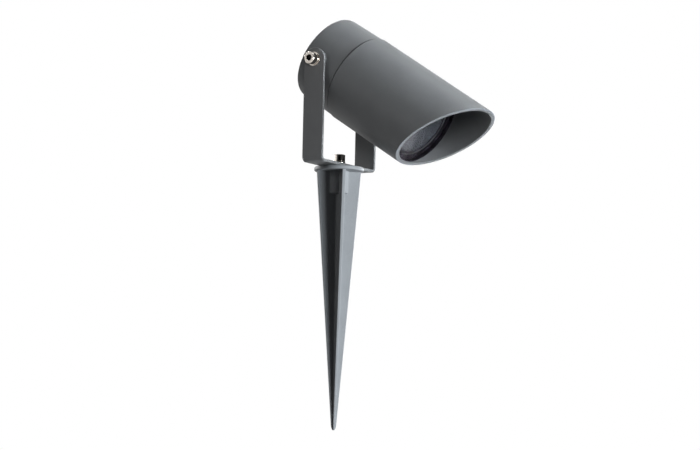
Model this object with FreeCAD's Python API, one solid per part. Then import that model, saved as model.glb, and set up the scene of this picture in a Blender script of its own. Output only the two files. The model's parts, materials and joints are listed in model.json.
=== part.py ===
"""Garden spike spotlight: a tilting lamp head in a U-shaped bracket on a cross-shaped ground spike.

Millimetres and degrees. The origin is the centre of the underside of the spike's flange, which rests
on the ground. +Z is up, the pivot axis is along X and the lamp shines towards -Y, tilted down.

The head is built level: its axis runs along -Y through the pivot, and "station" is the distance in
front of the pivot. place_head() then tilts it and lifts it between the bracket's arms.
"""

import FreeCAD, Part
import math
import os

from FreeCAD import Vector

# ---------------------------------------------------------------- driving dimensions

# Ground spike
spike_length = 185.0
flange_radius = 17.7
flange_thickness = 2.9
flange_round = 1.1
flange_bottom_chamfer = 0.6
fin_count = 4
fin_turn = 45.0
fin_reach_top = 16.15
fin_reach_tip = 1.9
fin_thickness_top = 2.8
fin_thickness_tip = 1.4
fin_root_chamfer_top = 1.3
fin_root_chamfer_tip = 0.3
fin_edge_chamfer_top = 0.5
fin_edge_chamfer_tip = 0.2
point_height = 4.0
point_share = 0.4
boss_radius = 7.0
boss_length = 16.0
boss_chamfer = 0.6

# Bracket
strip_thickness = 2.0
strip_width = 16.5
strip_bend_radius = 2.0
pivot_height = 76.0

# Socket-head cap screws of the bracket and the pivots
screw_radius = 2.5
screw_head_radius = 4.25
screw_head_height = 5.0
screw_head_chamfer = 0.45
screw_socket_flats = 4.0
screw_socket_depth = 2.6
bracket_screw_length = 16.0
pivot_screw_length = 12.0
tapped_hole_spare = 2.0
tapped_hole_overlap = 1.0
pivot_running_clearance = 0.08

# Washers under those screws
spring_washer_radius = 4.4
spring_washer_thickness = 1.2
spring_washer_split = 0.8
spring_washer_slant = 30.0
flat_washer_radius = 5.0
flat_washer_thickness = 1.0
washer_hole_clearance = 0.15
friction_washer_thickness = 1.0

# Head
head_tilt = 32.7
rear_overhang = 14.0
seam_station = 18.2
housing_draft = 0.7
housing_wall = 3.6
housing_floor = 3.5
housing_edge_chamfer = 1.2
pivot_boss_rise = 1.5
pivot_boss_radius = 7.0
pivot_boss_inner_radius = 5.5
spigot_length = 9.0

# Hood
hood_wall = 2.7
hood_thread_clearance = 0.05
hood_cut_station = 103.6
hood_cut_angle = 30.4
hood_turn = 9.4
seam_step = 0.5
seam_gap = 0.8
seam_seal_recess = 1.2
ledge_thickness = 3.0
ledge_width = 3.7

# Glass and its seal
glass_thickness = 4.0
glass_chamfer = 0.4
glass_below_lip = 0.2
glass_seal_wall = 0.65
glass_seal_floor = 0.8
seat_clearance = 0.03

# Lamp: a twist-lock reflector lamp of 50 mm diameter with two pins
lamp_radius = 25.0
lamp_length = 46.0
lamp_rim_height = 11.0
lamp_wall = 1.4
lamp_base_radius = 12.0
lamp_base_height = 13.0
lamp_to_ledge = 1.5
lamp_to_glass = 1.0
lens_thickness = 1.6
lens_edge = 0.7
led_board_radius = 17.0
led_board_thickness = 1.5
led_board_depth = 8.0
pin_spacing = 10.0
pin_length = 7.5
pin_radius = 1.5
pin_head_radius = 2.4
pin_head_length = 2.5

# Lampholder and the steel bridge that carries it
lampholder_radius = 13.0
lampholder_flat = 10.5
lampholder_height = 20.5
lampholder_gap = 0.5
pin_hole_clearance = 0.35
pin_hole_spare = 2.6
contact_width = 3.4
contact_thickness = 1.5
bridge_thickness = 1.5
bridge_width = 13.0
bridge_post_inset = 7.3
bridge_post_radius = 3.6
bridge_post_root = 1.5
bridge_end_margin = 4.0
bridge_corner = 2.5
lampholder_screw_offset = 7.0

# Small pan-head screws
small_screw_radius = 1.5
small_screw_head_radius = 2.75
small_screw_head_height = 2.0
small_screw_slot_width = 0.7
small_screw_slot_depth = 0.9
small_screw_spare = 1.0
bridge_screw_length = 8.0
lampholder_screw_length = 6.0

# Wiring inside the housing
lead_radius = 1.0
lead_offset_x = 8.5
lead_offset_z = 8.0
lead_height = 8.0
terminal_length = 25.0
terminal_width = 10.5
terminal_height = 12.0
terminal_gap = 0.7
terminal_screw_radius = 1.6
terminal_screw_drop = 1.0
earth_offset = 17.0
earth_screw_radius = 2.0
earth_screw_depth = 2.4
earth_tag_radius = 4.0
earth_tag_thickness = 0.8
earth_tag_tail_length = 9.0
earth_tag_tail_width = 4.0

# Cable gland in the rear wall
cable_entry_radius = 3.3
gland_thread_radius = 6.0
gland_flats = 15.0
gland_flange_height = 3.5
gland_inner_length = 9.0
gland_gasket_thickness = 1.0
gland_gasket_radius = 8.2
gland_locknut_height = 3.0
gland_nut_height = 8.5
gland_nut_wall = 1.6
gland_nut_neck_radius = 5.6
gland_clearance = 0.1
gland_bore_clearance = 0.5

# ---------------------------------------------------------------- sizes that follow from them

ledge_opening_radius = lamp_radius + lamp_to_ledge
hood_bore_radius = ledge_opening_radius + ledge_width
hood_radius = hood_bore_radius + hood_wall
spigot_radius = hood_bore_radius - hood_thread_clearance
housing_seam_radius = hood_radius - seam_step
housing_rear_radius = housing_seam_radius - housing_draft
housing_bore_radius = housing_rear_radius - housing_wall
hood_start = seam_station + seam_gap
rear_face = -rear_overhang
floor_face = rear_face + housing_floor

lip_station = hood_cut_station - hood_bore_radius * math.tan(math.radians(hood_cut_angle))
glass_front = lip_station - glass_below_lip
glass_rear = glass_front - glass_thickness
glass_seal_radius = hood_bore_radius - seat_clearance
glass_radius = glass_seal_radius - glass_seal_wall
ledge_front = glass_rear - glass_seal_floor
lamp_face = glass_rear - lamp_to_glass
lamp_seat = lamp_face - lamp_length
lampholder_front = lamp_seat - lampholder_gap
lampholder_rear = lampholder_front - lampholder_height
bridge_rear = lampholder_rear - bridge_thickness
pin_hole_end = lamp_seat - pin_length - pin_hole_spare

plate_top = flange_thickness + strip_thickness
washer_stack = flat_washer_thickness + spring_washer_thickness
pivot_boss_face = max(housing_seam_radius, housing_rear_radius) + pivot_boss_rise
arm_inner = pivot_boss_face + friction_washer_thickness
arm_outer = arm_inner + strip_thickness
pivot_tip = arm_outer + washer_stack - pivot_screw_length
pivot_hole_end = pivot_tip - tapped_hole_spare
bridge_post_offset = housing_bore_radius - bridge_post_inset
terminal_outer_face = pivot_hole_end - terminal_gap
terminal_inner_face = terminal_outer_face - terminal_width
arm_hole_radius = screw_radius + pivot_running_clearance
washer_hole_radius = screw_radius + washer_hole_clearance

ORIGIN = Vector(0, 0, 0)
AXIS_X = Vector(1, 0, 0)
AXIS_Y = Vector(0, 1, 0)
AXIS_Z = Vector(0, 0, 1)
FORWARD = Vector(0, -1, 0)
SIDES = (-1, 1)


# ---------------------------------------------------------------- helpers


def at(station, x=0.0, z=0.0):
    """A point of the level head."""
    return Vector(x, -station, z)


def rod(radius, start, end, x=0.0, z=0.0):
    """A cylinder along the level head's axis, or parallel to it."""
    return Part.makeCylinder(radius, end - start, at(start, x, z), FORWARD)


def ring(inner, outer, start, end, x=0.0, z=0.0):
    return rod(outer, start, end, x, z).cut(rod(inner, start, end, x, z))


def turned(outline):
    """A body of revolution about the level head's axis, from a closed outline of (station, radius)."""
    points = [at(station, 0, radius) for station, radius in outline]
    return Part.Face(Part.makePolygon(points + points[:1])).revolve(ORIGIN, AXIS_Y, 360)


def solid_of(shape):
    """The single solid of a boolean result, with its split faces joined again."""
    return shape.removeSplitter().Solids[0]


def round_edges(shape, radius, test):
    return shape.makeFillet(radius, [edge for edge in shape.Edges if test(edge)])


def chamfer_edges(shape, width, test):
    return shape.makeChamfer(width, [edge for edge in shape.Edges if test(edge)])


def circle_at(edge, centre, radius):
    """Whether an edge is the circle with this centre and radius."""
    curve = edge.Curve
    if not isinstance(curve, Part.Circle):
        return False
    return abs(curve.Radius - radius) < 1e-6 and curve.Center.distanceToPoint(centre) < 1e-6


def hexagon(flats, height, start=ORIGIN, direction=AXIS_Z):
    """A hexagonal prism, measured across its flats."""
    corner = flats / math.sqrt(3)
    points = [
        Vector(corner * math.cos(math.radians(60 * k)), corner * math.sin(math.radians(60 * k)), 0)
        for k in range(7)
    ]
    prism = Part.Face(Part.makePolygon(points)).extrude(AXIS_Z * height)
    prism.Placement = FreeCAD.Placement(start, FreeCAD.Rotation(AXIS_Z, direction))
    return prism


def place(shape, start, direction):
    """Moves a shape built at the origin along +Z so that it starts at a point and runs along a direction."""
    moved = shape.copy()
    moved.Placement = FreeCAD.Placement(start, FreeCAD.Rotation(AXIS_Z, direction))
    return moved


def place_head(shape):
    """Tilts a shape of the level head and lifts it to the pivot."""
    moved = shape.copy()
    moved.rotate(ORIGIN, AXIS_X, head_tilt)
    moved.translate(AXIS_Z * pivot_height)
    return moved


def export(node, *solids):
    shape = solids[0] if len(solids) == 1 else Part.makeCompound(list(solids))
    shape.exportStep("parts/" + node + ".step")


# ---------------------------------------------------------------- fasteners, built along +Z from z = 0


def cap_screw(length):
    """Socket-head cap screw whose head sits on z = 0, with its shank below."""
    head = Part.makeCylinder(screw_head_radius, screw_head_height)
    top = Vector(0, 0, screw_head_height)
    head = chamfer_edges(head, screw_head_chamfer, lambda e: circle_at(e, top, screw_head_radius))
    head = head.cut(hexagon(screw_socket_flats, screw_socket_depth, top, -AXIS_Z))
    shank = Part.makeCylinder(screw_radius, length, ORIGIN, -AXIS_Z)
    return solid_of(head.fuse(shank))


def flat_washer(outer, thickness):
    washer = Part.makeCylinder(outer, thickness)
    return washer.cut(Part.makeCylinder(washer_hole_radius, thickness))


def spring_washer():
    """Split washer; its slanted split leaves a gap on one side."""
    washer = flat_washer(spring_washer_radius, spring_washer_thickness)
    split = Part.makeBox(spring_washer_radius, spring_washer_split, 3 * spring_washer_thickness)
    split.translate(Vector(0, -spring_washer_split / 2, -spring_washer_thickness))
    split.rotate(Vector(0, 0, spring_washer_thickness / 2), AXIS_X, spring_washer_slant)
    return solid_of(washer.cut(split))


def small_screw(radius, length):
    """Small slotted cheese-head screw whose head sits on z = 0, with its shank below."""
    head_radius = small_screw_head_radius * radius / small_screw_radius
    head = Part.makeCylinder(head_radius, small_screw_head_height)
    slot = Part.makeBox(2 * head_radius, small_screw_slot_width, small_screw_slot_depth)
    slot.translate(
        Vector(-head_radius, -small_screw_slot_width / 2, small_screw_head_height - small_screw_slot_depth)
    )
    shank = Part.makeCylinder(radius, length, ORIGIN, -AXIS_Z)
    return solid_of(head.cut(slot).fuse(shank))


# ---------------------------------------------------------------- ground spike


def fin_section(height, reach, thickness, root_chamfer, edge_chamfer):
    """Corners of the cross-shaped outline at a height, with bevelled roots and fin ends."""
    half = thickness / 2
    root = half + root_chamfer
    shoulder = reach - edge_chamfer
    corner = half - edge_chamfer
    one_side = [(root, half), (shoulder, half), (reach, corner)]
    outline = [(along, -across) for along, across in one_side] + one_side[::-1]
    points = []
    for k in range(fin_count):
        turn = FreeCAD.Rotation(AXIS_Z, fin_turn + k * 360 / fin_count)
        points += [turn.multVec(Vector(along, across, height)) for along, across in outline]
    return points


def tapered_fins():
    """Flat-faced fins that taper down to the point, which then draws in fast to a blunt end."""
    shoulder = point_height - spike_length
    tip = (fin_reach_tip, fin_thickness_tip, fin_root_chamfer_tip, fin_edge_chamfer_tip)
    rings = [
        fin_section(0, fin_reach_top, fin_thickness_top, fin_root_chamfer_top, fin_edge_chamfer_top),
        fin_section(shoulder, *tip),
        fin_section(-spike_length, *[size * point_share for size in tip]),
    ]
    rings = [points + points[:1] for points in rings]
    faces = [Part.Face(Part.makePolygon(rings[0])), Part.Face(Part.makePolygon(rings[-1]))]
    for upper, lower in zip(rings, rings[1:]):
        for k in range(len(upper) - 1):
            corners = [upper[k], upper[k + 1], lower[k + 1], lower[k], upper[k]]
            faces.append(Part.Face(Part.makePolygon(corners)))
    return Part.makeSolid(Part.makeShell(faces))


def ground_spike():
    top = Vector(0, 0, flange_thickness)
    flange = Part.makeCylinder(flange_radius, flange_thickness)
    flange = round_edges(flange, flange_round, lambda e: circle_at(e, top, flange_radius))
    flange = chamfer_edges(flange, flange_bottom_chamfer, lambda e: circle_at(e, ORIGIN, flange_radius))
    foot = Vector(0, 0, -boss_length)
    boss = Part.makeCylinder(boss_radius, boss_length, foot)
    boss = chamfer_edges(boss, boss_chamfer, lambda e: circle_at(e, foot, boss_radius))
    hole_top = plate_top + washer_stack
    hole_bottom = hole_top - bracket_screw_length - tapped_hole_spare
    hole = Part.makeCylinder(screw_radius, hole_top - hole_bottom, Vector(0, 0, hole_bottom))
    return solid_of(flange.fuse([boss, tapered_fins()]).cut(hole))


# ---------------------------------------------------------------- bracket


def bent_block(half_width, bottom, bend_radius):
    """Block as wide as the strip, up to the arms' ends, with its two lower edges rounded."""
    top = pivot_height + strip_width / 2
    corner = Vector(-half_width, -strip_width / 2, bottom)
    block = Part.makeBox(2 * half_width, strip_width, top - bottom, corner)
    ends = [(side * half_width, bottom) for side in SIDES]
    return round_edges(
        block, bend_radius, lambda e: any(runs_along_y(e, x, z) for x, z in ends)
    )


def runs_along_y(edge, x, z):
    """Whether an edge lies along Y through this x and z."""
    return all(math.hypot(v.X - x, v.Z - z) < 1e-6 for v in edge.Vertexes)


def u_bracket():
    """Flat strip bent into a U, with round arm ends on the pivot axis."""
    outside = bent_block(arm_outer, flange_thickness, strip_bend_radius + strip_thickness)
    inside = bent_block(arm_inner, plate_top, strip_bend_radius)
    corner = Vector(-arm_outer, -strip_width / 2, flange_thickness)
    below_pivot = Part.makeBox(2 * arm_outer, strip_width, pivot_height - flange_thickness, corner)
    pivot_start = Vector(-arm_outer, 0, pivot_height)
    arm_end = Part.makeCylinder(strip_width / 2, 2 * arm_outer, pivot_start, AXIS_X)
    strip = outside.cut(inside).common(below_pivot.fuse(arm_end))
    pivot_hole = Part.makeCylinder(arm_hole_radius, 2 * arm_outer, pivot_start, AXIS_X)
    screw_hole = Part.makeCylinder(arm_hole_radius, strip_thickness, Vector(0, 0, flange_thickness))
    return solid_of(strip.cut(pivot_hole).cut(screw_hole))


# ---------------------------------------------------------------- rear housing


def housing_shell():
    """Open cup with draft on its wall, a bevelled rear edge and the spigot that the hood screws on."""
    spigot_end = seam_station + spigot_length
    outline = [
        (rear_face, 0),
        (rear_face, housing_rear_radius - housing_edge_chamfer),
        (rear_face + housing_edge_chamfer, housing_rear_radius),
        (seam_station, housing_seam_radius),
        (seam_station, spigot_radius),
        (spigot_end, spigot_radius),
        (spigot_end, housing_bore_radius),
        (floor_face, housing_bore_radius),
        (floor_face, 0),
    ]
    return turned(outline)


def pivot_boss(side):
    """Boss for a pivot: outside up to the friction washer, and a smaller one inside the wall."""
    boss_root = housing_bore_radius - housing_wall
    outward = AXIS_X * side
    outside = Part.makeCylinder(
        pivot_boss_radius, pivot_boss_face - boss_root, outward * boss_root, outward
    )
    bore = rod(housing_bore_radius, floor_face, seam_station)
    inside = Part.makeCylinder(
        pivot_boss_inner_radius, pivot_boss_face - pivot_hole_end, outward * pivot_hole_end, outward
    )
    return [outside.cut(bore), inside]


def pivot_hole(side):
    start = pivot_tip - tapped_hole_overlap
    return Part.makeCylinder(screw_radius, pivot_boss_face - start, AXIS_X * side * start, AXIS_X * side)


def bridge_post(side):
    return rod(bridge_post_radius, floor_face - bridge_post_root, bridge_rear, 0, side * bridge_post_offset)


def bridge_post_hole(side):
    end = lampholder_rear - bridge_screw_length - small_screw_spare
    return rod(small_screw_radius, end, bridge_rear, 0, side * bridge_post_offset)


def rear_housing():
    body = housing_shell()
    body = body.fuse(pivot_boss(-1) + pivot_boss(1) + [bridge_post(side) for side in SIDES])
    holes = [pivot_hole(side) for side in SIDES] + [bridge_post_hole(side) for side in SIDES]
    holes.append(rod(gland_thread_radius + gland_clearance, rear_face, floor_face))
    holes.append(rod(earth_screw_radius, floor_face - earth_screw_depth, floor_face, -earth_offset))
    return solid_of(body.cut(holes))


# ---------------------------------------------------------------- hood, glass and seals


def hood_cutter():
    """Everything in front of the slanted cut, which is turned a little about the head's axis."""
    reach = hood_cut_station + hood_radius
    cutter = Part.makeBox(2 * reach, reach, 2 * reach, Vector(-reach, -reach, -reach))
    cutter.rotate(ORIGIN, AXIS_X, hood_cut_angle)
    cutter.translate(at(hood_cut_station))
    cutter.rotate(ORIGIN, AXIS_Y, hood_turn)
    return cutter


def front_hood():
    """Tube with a ledge for the glass and a slanted mouth; its rear bore screws on the spigot."""
    longest = hood_cut_station + hood_radius
    tube = ring(hood_bore_radius, hood_radius, hood_start, longest).cut(hood_cutter())
    mid_wall_radius = hood_bore_radius + hood_wall / 2
    ledge = ring(ledge_opening_radius, mid_wall_radius, ledge_front - ledge_thickness, ledge_front)
    return solid_of(tube.fuse(ledge))


def hood_seal():
    return ring(
        spigot_radius + seat_clearance, hood_radius - seam_seal_recess, seam_station, hood_start
    )


def front_glass():
    glass = rod(glass_radius, glass_rear, glass_front)
    return chamfer_edges(glass, glass_chamfer, lambda e: circle_at(e, at(glass_front), glass_radius))


def glass_seal():
    """Ring of L section: a floor on the hood's ledge and a wall between glass and bore."""
    wall = ring(
        glass_radius + seat_clearance, glass_seal_radius, ledge_front, glass_front - glass_chamfer
    )
    floor = ring(ledge_opening_radius, glass_seal_radius, ledge_front, glass_rear)
    return solid_of(wall.fuse(floor))


# ---------------------------------------------------------------- lamp


def lamp_body():
    """Reflector body that narrows from its rim to the pin base, with a cup for the light source."""
    cup_floor = lamp_face - led_board_depth - led_board_thickness
    lens_seat = lamp_face - lens_thickness
    lens_recess_radius = lamp_radius - lens_edge
    cup_radius = lens_recess_radius - lamp_wall
    return turned(
        [
            (lamp_seat, 0),
            (lamp_seat, lamp_base_radius),
            (lamp_seat + lamp_base_height, lamp_base_radius),
            (lamp_face - lamp_rim_height, lamp_radius),
            (lamp_face, lamp_radius),
            (lamp_face, lens_recess_radius),
            (lens_seat, lens_recess_radius),
            (lens_seat, cup_radius),
            (cup_floor, cup_radius),
            (cup_floor, 0),
        ]
    )


def lamp_lens():
    return rod(lamp_radius - lens_edge - seat_clearance, lamp_face - lens_thickness, lamp_face)


def lamp_led_board():
    back = lamp_face - led_board_depth - led_board_thickness
    return rod(led_board_radius - seat_clearance, back, back + led_board_thickness)


def lamp_pins():
    tip = lamp_seat - pin_length
    pins = []
    for side in SIDES:
        x = side * pin_spacing / 2
        shank = rod(pin_radius, tip, lamp_seat, x)
        head = rod(pin_head_radius, tip, tip + pin_head_length, x)
        pins.append(solid_of(shank.fuse(head)))
    return pins


# ---------------------------------------------------------------- lampholder and its bridge


def lampholder():
    """Round ceramic block with two flats, a deep hole for each pin and two tapped holes behind."""
    block = rod(lampholder_radius, lampholder_rear, lampholder_front)
    width = 2 * lampholder_radius
    corner = Vector(-lampholder_radius, -lampholder_front, -lampholder_flat)
    block = block.common(Part.makeBox(width, lampholder_height, 2 * lampholder_flat, corner))
    screw_end = bridge_rear + lampholder_screw_length + small_screw_spare
    for side in SIDES:
        pin_x = side * pin_spacing / 2
        pin_hole = rod(pin_head_radius + pin_hole_clearance, pin_hole_end, lampholder_front, pin_x)
        screw_z = side * lampholder_screw_offset
        screw_hole = rod(small_screw_radius, lampholder_rear, screw_end, 0, screw_z)
        block = block.cut(pin_hole).cut(screw_hole)
    return solid_of(block)


def lampholder_contacts():
    """Square brass plate at the bottom of each pin hole."""
    half = contact_width / 2
    front = pin_hole_end + contact_thickness
    corners = [at(front, side * pin_spacing / 2 - half, -half) for side in SIDES]
    return [Part.makeBox(contact_width, contact_thickness, contact_width, c) for c in corners]


def lampholder_bridge():
    """Steel strip with bevelled corners across the housing, on its two posts."""
    half = bridge_post_offset + bridge_end_margin
    corner = Vector(-bridge_width / 2, -lampholder_rear, -half)
    strip = Part.makeBox(bridge_width, bridge_thickness, 2 * half, corner)
    strip = chamfer_edges(strip, bridge_corner, lambda e: abs(e.Length - bridge_thickness) < 1e-6)
    hole_radius = small_screw_radius + washer_hole_clearance
    for offset in (bridge_post_offset, lampholder_screw_offset):
        for side in SIDES:
            strip = strip.cut(rod(hole_radius, bridge_rear, lampholder_rear, 0, side * offset))
    return solid_of(strip)


def bridge_screws():
    screw = small_screw(small_screw_radius, bridge_screw_length)
    return [place(screw, at(lampholder_rear, 0, side * bridge_post_offset), FORWARD) for side in SIDES]


def lampholder_screws():
    screw = small_screw(small_screw_radius, lampholder_screw_length)
    return [place(screw, at(bridge_rear, 0, side * lampholder_screw_offset), -FORWARD) for side in SIDES]


# ---------------------------------------------------------------- wiring inside the housing


def lead(z):
    """Insulated lead from the lampholder's back, round one corner, into the terminal block."""
    level = floor_face + lead_height
    start = at(lampholder_rear, -lead_offset_x, z)
    turn = at(level, -lead_offset_x, z)
    end = at(level, terminal_inner_face, z)
    section = Part.Wire([Part.Circle(start, FORWARD, lead_radius).toShape()])
    return Part.makePolygon([start, turn, end]).makePipeShell([section], True, False, 1)


def terminal_middle():
    return (terminal_inner_face + terminal_outer_face) / 2


def terminal_block():
    """Three-pole connector block on the housing's floor, with wells for its clamping screws."""
    top = floor_face + terminal_height
    corner = at(top, terminal_inner_face, -terminal_length / 2)
    block = Part.makeBox(terminal_width, terminal_height, terminal_length, corner)
    well_radius = terminal_screw_radius + seat_clearance
    for z in (-lead_offset_z, 0, lead_offset_z):
        block = block.cut(rod(well_radius, floor_face + lead_height, top, terminal_middle(), z))
    return solid_of(block)


def terminal_screws():
    bottom = floor_face + lead_height
    top = floor_face + terminal_height - terminal_screw_drop
    screws = []
    for z in (-lead_offset_z, 0, lead_offset_z):
        screw = rod(terminal_screw_radius, bottom, top, terminal_middle(), z)
        slot = Part.makeBox(2 * terminal_screw_radius, small_screw_slot_depth, small_screw_slot_width)
        slot_x = terminal_middle() - terminal_screw_radius
        slot.translate(at(top, slot_x, z - small_screw_slot_width / 2))
        screws.append(solid_of(screw.cut(slot)))
    return screws


def earth_screw():
    screw = small_screw(earth_screw_radius, earth_screw_depth + earth_tag_thickness)
    return place(screw, at(floor_face + earth_tag_thickness, -earth_offset), FORWARD)


def earth_tag():
    """Ring terminal under the earth screw, with a flat tail."""
    top = floor_face + earth_tag_thickness
    eye = rod(earth_tag_radius, floor_face, top, -earth_offset)
    tail = Part.makeBox(earth_tag_tail_width, earth_tag_thickness, earth_tag_tail_length)
    tail.translate(at(top, -earth_offset - earth_tag_tail_width / 2))
    hole = rod(earth_screw_radius + washer_hole_clearance, floor_face, top, -earth_offset)
    return solid_of(eye.fuse(tail).cut(hole))


# ---------------------------------------------------------------- cable gland

gland_flange_front = rear_face - gland_gasket_thickness
gland_flange_rear = gland_flange_front - gland_flange_height
gland_nut_rear = gland_flange_rear - gland_nut_height
gland_seal_radius = gland_nut_neck_radius - seat_clearance
gland_bore_radius = cable_entry_radius + gland_bore_clearance


def gland_body():
    """Hexagonal flange outside the wall and threaded sleeve through it."""
    flange = hexagon(gland_flats, gland_flange_height, at(gland_flange_rear), FORWARD)
    sleeve = rod(gland_thread_radius, gland_flange_rear, rear_face + gland_inner_length)
    bore = rod(gland_bore_radius, gland_flange_rear, rear_face + gland_inner_length)
    return solid_of(flange.fuse(sleeve).cut(bore))


def gland_gasket():
    return ring(gland_thread_radius + gland_clearance, gland_gasket_radius, gland_flange_front, rear_face)


def gland_locknut():
    start = floor_face
    nut = hexagon(gland_flats, gland_locknut_height, at(start), FORWARD)
    hole = rod(gland_thread_radius + seat_clearance, start, start + gland_locknut_height)
    return solid_of(nut.cut(hole))


def gland_seal():
    """Rubber sleeve that the nut squeezes on the cable."""
    return ring(
        cable_entry_radius, gland_seal_radius, gland_nut_rear + gland_nut_wall, gland_flange_rear
    )


def gland_nut():
    """Dome nut: hexagonal with a rounded end and a hole for the cable."""
    nut = hexagon(gland_flats, gland_nut_height, at(gland_nut_rear), FORWARD)
    corner = gland_flats / math.sqrt(3)
    dome = turned(
        [
            (gland_flange_rear, 0),
            (gland_flange_rear, corner),
            (gland_nut_rear + gland_nut_wall, corner),
            (gland_nut_rear, corner - gland_nut_wall),
            (gland_nut_rear, 0),
        ]
    )
    hollow = rod(gland_nut_neck_radius, gland_nut_rear + gland_nut_wall, gland_flange_rear)
    hole = rod(gland_bore_radius, gland_nut_rear, gland_flange_rear)
    return solid_of(nut.common(dome).cut(hollow).cut(hole))


# ---------------------------------------------------------------- assembly


def export_stand():
    washer = flat_washer(flat_washer_radius, flat_washer_thickness)
    spring_seat = plate_top + flat_washer_thickness
    screw_seat = plate_top + washer_stack
    export("ground_spike", ground_spike())
    export("u_bracket", u_bracket())
    export("bracket_washer", place(washer, AXIS_Z * plate_top, AXIS_Z))
    export("bracket_spring_washer", place(spring_washer(), AXIS_Z * spring_seat, AXIS_Z))
    export("bracket_screw", place(cap_screw(bracket_screw_length), AXIS_Z * screw_seat, AXIS_Z))


def export_pivots():
    """Both pivots, stacked outwards along X: friction washer, arm, flat washer, spring washer, screw."""
    friction_washer = flat_washer(pivot_boss_radius, friction_washer_thickness)
    washer = flat_washer(flat_washer_radius, flat_washer_thickness)
    stacks = {
        "pivot_friction_washers": (friction_washer, pivot_boss_face),
        "pivot_washers": (washer, arm_outer),
        "pivot_spring_washers": (spring_washer(), arm_outer + flat_washer_thickness),
        "pivot_screws": (cap_screw(pivot_screw_length), arm_outer + washer_stack),
    }
    for node, (piece, distance) in stacks.items():
        pair = [place(piece, AXIS_X * side * distance, AXIS_X * side) for side in SIDES]
        export(node, *[place_head(solid) for solid in pair])


def export_head():
    pieces = {
        "rear_housing": [rear_housing()],
        "front_hood": [front_hood()],
        "hood_seal": [hood_seal()],
        "front_glass": [front_glass()],
        "glass_seal": [glass_seal()],
        "lamp_body": [lamp_body()],
        "lamp_lens": [lamp_lens()],
        "lamp_led_board": [lamp_led_board()],
        "lamp_pins": lamp_pins(),
        "lampholder": [lampholder()],
        "lampholder_contacts": lampholder_contacts(),
        "lampholder_bridge": [lampholder_bridge()],
        "lampholder_screws": lampholder_screws(),
        "bridge_screws": bridge_screws(),
        "lampholder_leads": [lead(-lead_offset_z), lead(lead_offset_z)],
        "terminal_block": [terminal_block()],
        "terminal_screws": terminal_screws(),
        "earth_screw": [earth_screw()],
        "earth_tag": [earth_tag()],
        "gland_body": [gland_body()],
        "gland_gasket": [gland_gasket()],
        "gland_locknut": [gland_locknut()],
        "gland_seal": [gland_seal()],
        "gland_nut": [gland_nut()],
    }
    for node, solids in pieces.items():
        export(node, *[place_head(solid) for solid in solids])


os.makedirs("parts", exist_ok=True)
export_stand()
export_pivots()
export_head()
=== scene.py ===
"""Looks of the garden spike spotlight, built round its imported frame.

Metres, +Z up. The head's own frame, "barrel", has its origin on the pivot axis and its local Z along the
lamp's axis, so that local Z is the station in front of the pivot; local Y points to the head's top.
"""

import json
import math

import bmesh
import bpy
from mathutils import Matrix, Vector

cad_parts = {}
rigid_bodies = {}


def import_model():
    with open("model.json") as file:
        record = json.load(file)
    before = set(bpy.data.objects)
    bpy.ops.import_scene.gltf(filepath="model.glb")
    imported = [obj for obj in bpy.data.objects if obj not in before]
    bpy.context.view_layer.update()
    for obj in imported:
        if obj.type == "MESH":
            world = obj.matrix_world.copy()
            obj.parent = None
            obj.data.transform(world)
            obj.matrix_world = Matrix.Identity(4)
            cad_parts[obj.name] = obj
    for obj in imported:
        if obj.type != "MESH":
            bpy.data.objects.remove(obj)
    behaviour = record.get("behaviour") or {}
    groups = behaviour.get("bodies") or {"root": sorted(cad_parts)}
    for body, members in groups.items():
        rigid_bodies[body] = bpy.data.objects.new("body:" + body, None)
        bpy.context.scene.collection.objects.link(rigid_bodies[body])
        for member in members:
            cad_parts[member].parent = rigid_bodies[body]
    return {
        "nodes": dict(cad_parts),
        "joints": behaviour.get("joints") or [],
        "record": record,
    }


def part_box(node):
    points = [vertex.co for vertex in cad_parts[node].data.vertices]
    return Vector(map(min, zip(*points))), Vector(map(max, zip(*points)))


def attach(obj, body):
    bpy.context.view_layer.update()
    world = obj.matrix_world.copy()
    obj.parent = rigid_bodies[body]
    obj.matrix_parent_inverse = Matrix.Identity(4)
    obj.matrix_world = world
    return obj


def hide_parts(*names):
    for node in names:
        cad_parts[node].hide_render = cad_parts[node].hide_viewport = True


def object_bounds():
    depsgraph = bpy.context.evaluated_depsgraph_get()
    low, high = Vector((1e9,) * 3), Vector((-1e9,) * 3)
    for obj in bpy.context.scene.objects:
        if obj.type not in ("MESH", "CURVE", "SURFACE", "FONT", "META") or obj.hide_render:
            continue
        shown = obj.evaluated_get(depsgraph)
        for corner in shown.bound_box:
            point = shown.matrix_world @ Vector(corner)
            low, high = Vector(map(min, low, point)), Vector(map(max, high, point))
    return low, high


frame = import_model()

MM = 0.001
# Face attribute: 1 on the hood's rim (painted highlight), in screw sockets (painted shade) and on the lamp
# cover's black border.
MARK = "finish_mark"
CAD_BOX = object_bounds()

# ---------------------------------------------------------------- camera and light

CAMERA_AZIMUTH = math.radians(-58.705)
CAMERA_ELEVATION = math.radians(-6.521)
CAMERA_ROLL = math.radians(1.206)
CAMERA_DISTANCE = 2397.34 * MM
CAMERA_SHIFT_RIGHT = 7.92 * MM
CAMERA_SHIFT_UP = -38.25 * MM
CAMERA_LENS_MM = 172.35
FLOOR_DROP = 320 * MM
FLOOR_HALF = 6.0
LAMP_DISTANCE = 1.6
FLAG_DISTANCE = 3.2
FLAG_STEPS = 16
FLAG_LOW = 1.2
FLAG_HIGH = 2.4
WORLD_DIFFUSE = 0.03
COOL = (0.92, 0.97, 1.0)
WHITE = (1.0, 1.0, 1.0)

# ---------------------------------------------------------------- sizes that the frame doesn't give

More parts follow.
